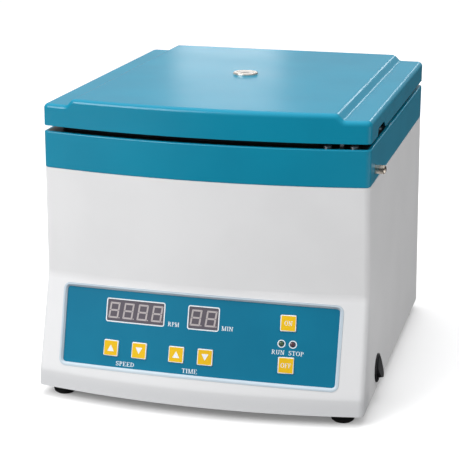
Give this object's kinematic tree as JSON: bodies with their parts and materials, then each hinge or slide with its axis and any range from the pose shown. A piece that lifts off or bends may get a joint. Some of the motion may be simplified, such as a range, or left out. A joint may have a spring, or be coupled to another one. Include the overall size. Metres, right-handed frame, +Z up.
{
  "type": "cytocentrifuge",
  "caption": "Bench cytocentrifuge: bowed white case, teal hinged lid, sloping control panel, and a rotor with swinging slide carriers.",
  "frame": {"origin": "middle of the footprint, on the bench under the feet", "axes": "+X to the right of someone facing the panel, +Y from the panel to the back, +Z up"},
  "size_m": [0.2927, 0.356, 0.2629],
  "materials": {
    "white_shell": "gloss white moulding",
    "teal_shell": "gloss teal moulding",
    "liner": "pale grey moulding",
    "bezel": "pale blue-grey",
    "overlay": "teal printed film",
    "display_window": "smoked grey",
    "key_yellow": "yellow",
    "lamp_green": "green",
    "lamp_red": "red",
    "black_plastic": "black moulding",
    "black_rubber": "black rubber",
    "base_paint": "grey powder coat",
    "bright_steel": "satin",
    "bright_plate": "nickel plate",
    "sight_glass": "smoked",
    "rotor_alloy": "anodised",
    "iron_core": "laminated",
    "funnel_plastic": "white moulding",
    "circuit_board": "green laminate",
    "pin_brass": "bright"
  },
  "bodies": {
    "housing": {"body_shell": "white_shell", "base_plate": "base_paint", "feet": "black_rubber", "case_screws": "bright_steel", "collar": "teal_shell", "bowl_seal": "black_rubber", "edge_seal": "black_rubber", "chamber_bowl": "bright_steel", "guard_ring": "base_paint", "shaft_seal": "black_rubber", "isolators": "black_rubber", "motor_bracket": "base_paint", "motor_housing": "rotor_alloy", "motor_bearings": "bright_steel", "stator": "iron_core", "transformer": "iron_core", "mains_inlet": "black_plastic", "inlet_pins": "pin_brass", "switch_bezel": "black_plastic", "panel_bezel": "bezel", "panel_overlay": "overlay", "speed_display": "display_window", "time_display": "display_window", "run_lamp": "lamp_green", "stop_lamp": "lamp_red", "control_board": "circuit_board", "lock_bush": "bright_plate", "body_hinges": "bright_steel", "hinge_pins": "bright_plate"},
    "lid": {"lid_cover": "teal_shell", "lid_liner": "liner", "lid_screws": "bright_steel", "sight_ring": "bright_plate", "sight_glass": "sight_glass", "lid_catch": "bright_steel", "lid_hinges": "bright_steel"},
    "rotor": {"motor_shaft": "bright_steel", "armature": "iron_core", "rotor_head": "rotor_alloy", "rotor_nut": "rotor_alloy"},
    "carrier_1": {"slide_clip_1": "bright_steel", "sample_funnel_1": "funnel_plastic"},
    "carrier_2": {"slide_clip_2": "bright_steel", "sample_funnel_2": "funnel_plastic"},
    "carrier_3": {"slide_clip_3": "bright_steel", "sample_funnel_3": "funnel_plastic"},
    "carrier_4": {"slide_clip_4": "bright_steel", "sample_funnel_4": "funnel_plastic"},
    "carrier_5": {"slide_clip_5": "bright_steel", "sample_funnel_5": "funnel_plastic"},
    "carrier_6": {"slide_clip_6": "bright_steel", "sample_funnel_6": "funnel_plastic"},
    "speed_up_button": {"speed_up_key": "key_yellow"},
    "speed_down_button": {"speed_down_key": "key_yellow"},
    "time_up_button": {"time_up_key": "key_yellow"},
    "time_down_button": {"time_down_key": "key_yellow"},
    "on_button": {"on_key": "key_yellow"},
    "off_button": {"off_key": "key_yellow"},
    "lock": {"lock_bolt": "bright_plate"},
    "rocker": {"power_rocker": "black_plastic"}
  },
  "joints": [
    {"name": "lid_hinge", "type": "hinge", "parent": "housing", "child": "lid", "pos_m": [-0.0028, 0.1725, 0.23425], "axis": [-1, 0, 0], "range_deg": [0, 95]},
    {"name": "lock_bolt_slide", "type": "slide", "parent": "housing", "child": "lock", "axis": [-1, 0, 0], "range_m": [0, 0.008]},
    {"name": "rotor_spin", "type": "hinge", "parent": "housing", "child": "rotor", "pos_m": [-0.0028, 0.014, 0.129], "axis": [0, 0, 1], "continuous": true},
    {"name": "carrier_1_swing", "type": "hinge", "parent": "rotor", "child": "carrier_1", "pos_m": [0.0812, 0.014, 0.146], "axis": [0, 1, 0], "range_deg": [0, 12]},
    {"name": "carrier_2_swing", "type": "hinge", "parent": "rotor", "child": "carrier_2", "pos_m": [0.0392, 0.08675, 0.146], "axis": [-0.866, 0.5, 0], "range_deg": [0, 12]},
    {"name": "carrier_3_swing", "type": "hinge", "parent": "rotor", "child": "carrier_3", "pos_m": [-0.0448, 0.08675, 0.146], "axis": [-0.866, -0.5, 0], "range_deg": [0, 12]},
    {"name": "carrier_4_swing", "type": "hinge", "parent": "rotor", "child": "carrier_4", "pos_m": [-0.0868, 0.014, 0.146], "axis": [0, -1, 0], "range_deg": [0, 12]},
    {"name": "carrier_5_swing", "type": "hinge", "parent": "rotor", "child": "carrier_5", "pos_m": [-0.0448, -0.05875, 0.146], "axis": [0.866, -0.5, 0], "range_deg": [0, 12]},
    {"name": "carrier_6_swing", "type": "hinge", "parent": "rotor", "child": "carrier_6", "pos_m": [0.0392, -0.05875, 0.146], "axis": [0.866, 0.5, 0], "range_deg": [0, 12]},
    {"name": "speed_up_press", "type": "slide", "parent": "housing", "child": "speed_up_button", "axis": [0.1093, 0.9608, -0.2548], "range_m": [0, 0.0004], "stiffness_N_per_m": 600, "springref_m": -0.0004},
    {"name": "speed_down_press", "type": "slide", "parent": "housing", "child": "speed_down_button", "axis": [0.072, 0.9643, -0.2548], "range_m": [0, 0.0004], "stiffness_N_per_m": 600, "springref_m": -0.0004},
    {"name": "time_up_press", "type": "slide", "parent": "housing", "child": "time_up_button", "axis": [0.0239, 0.9667, -0.2548], "range_m": [0, 0.0004], "stiffness_N_per_m": 600, "springref_m": -0.0004},
    {"name": "time_down_press", "type": "slide", "parent": "housing", "child": "time_down_button", "axis": [-0.0125, 0.9669, -0.2548], "range_m": [0, 0.0004], "stiffness_N_per_m": 600, "springref_m": -0.0004},
    {"name": "on_press", "type": "slide", "parent": "housing", "child": "on_button", "axis": [-0.1127, 0.9604, -0.2548], "range_m": [0, 0.0004], "stiffness_N_per_m": 600, "springref_m": -0.0004},
    {"name": "off_press", "type": "slide", "parent": "housing", "child": "off_button", "axis": [-0.1116, 0.9605, -0.2548], "range_m": [0, 0.0004], "stiffness_N_per_m": 600, "springref_m": -0.0004},
    {"name": "power_rocker_tilt", "type": "hinge", "parent": "housing", "child": "rocker", "pos_m": [0.13827, -0.093, 0.02796], "axis": [0, 1, 0], "range_deg": [0, 24]}
  ],
  "couplings": [
    {"joint": "carrier_2_swing", "follows": "carrier_1_swing", "ratio": 1},
    {"joint": "carrier_3_swing", "follows": "carrier_1_swing", "ratio": 1},
    {"joint": "carrier_4_swing", "follows": "carrier_1_swing", "ratio": 1},
    {"joint": "carrier_5_swing", "follows": "carrier_1_swing", "ratio": 1},
    {"joint": "carrier_6_swing", "follows": "carrier_1_swing", "ratio": 1}
  ]
}
